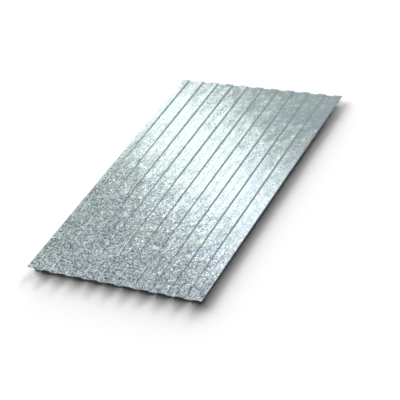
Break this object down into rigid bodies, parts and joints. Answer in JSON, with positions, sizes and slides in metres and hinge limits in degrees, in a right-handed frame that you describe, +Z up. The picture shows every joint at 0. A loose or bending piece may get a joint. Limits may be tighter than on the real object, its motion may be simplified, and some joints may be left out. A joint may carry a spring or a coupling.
{
  "type": "corrugated metal sheet",
  "caption": "Flat-lying galvanised steel sheet with shallow, straight trapezoidal ribs along its length, a flat underlap edge on one side and a lipped overlap rib on the other.",
  "frame": {"origin": "middle of the sheet's footprint, on the floor that the valleys lie on", "axes": "+X across the ribs towards the lipped overlap edge, +Y along the ribs, +Z up out of the ribbed face"},
  "size_m": [1.2, 2, 0.008],
  "materials": {
    "galvanised_steel": "hot-dip galvanised, spangled, semi-gloss"
  },
  "bodies": {
    "root": {"profiled_sheet": "galvanised_steel"}
  },
  "joints": []
}
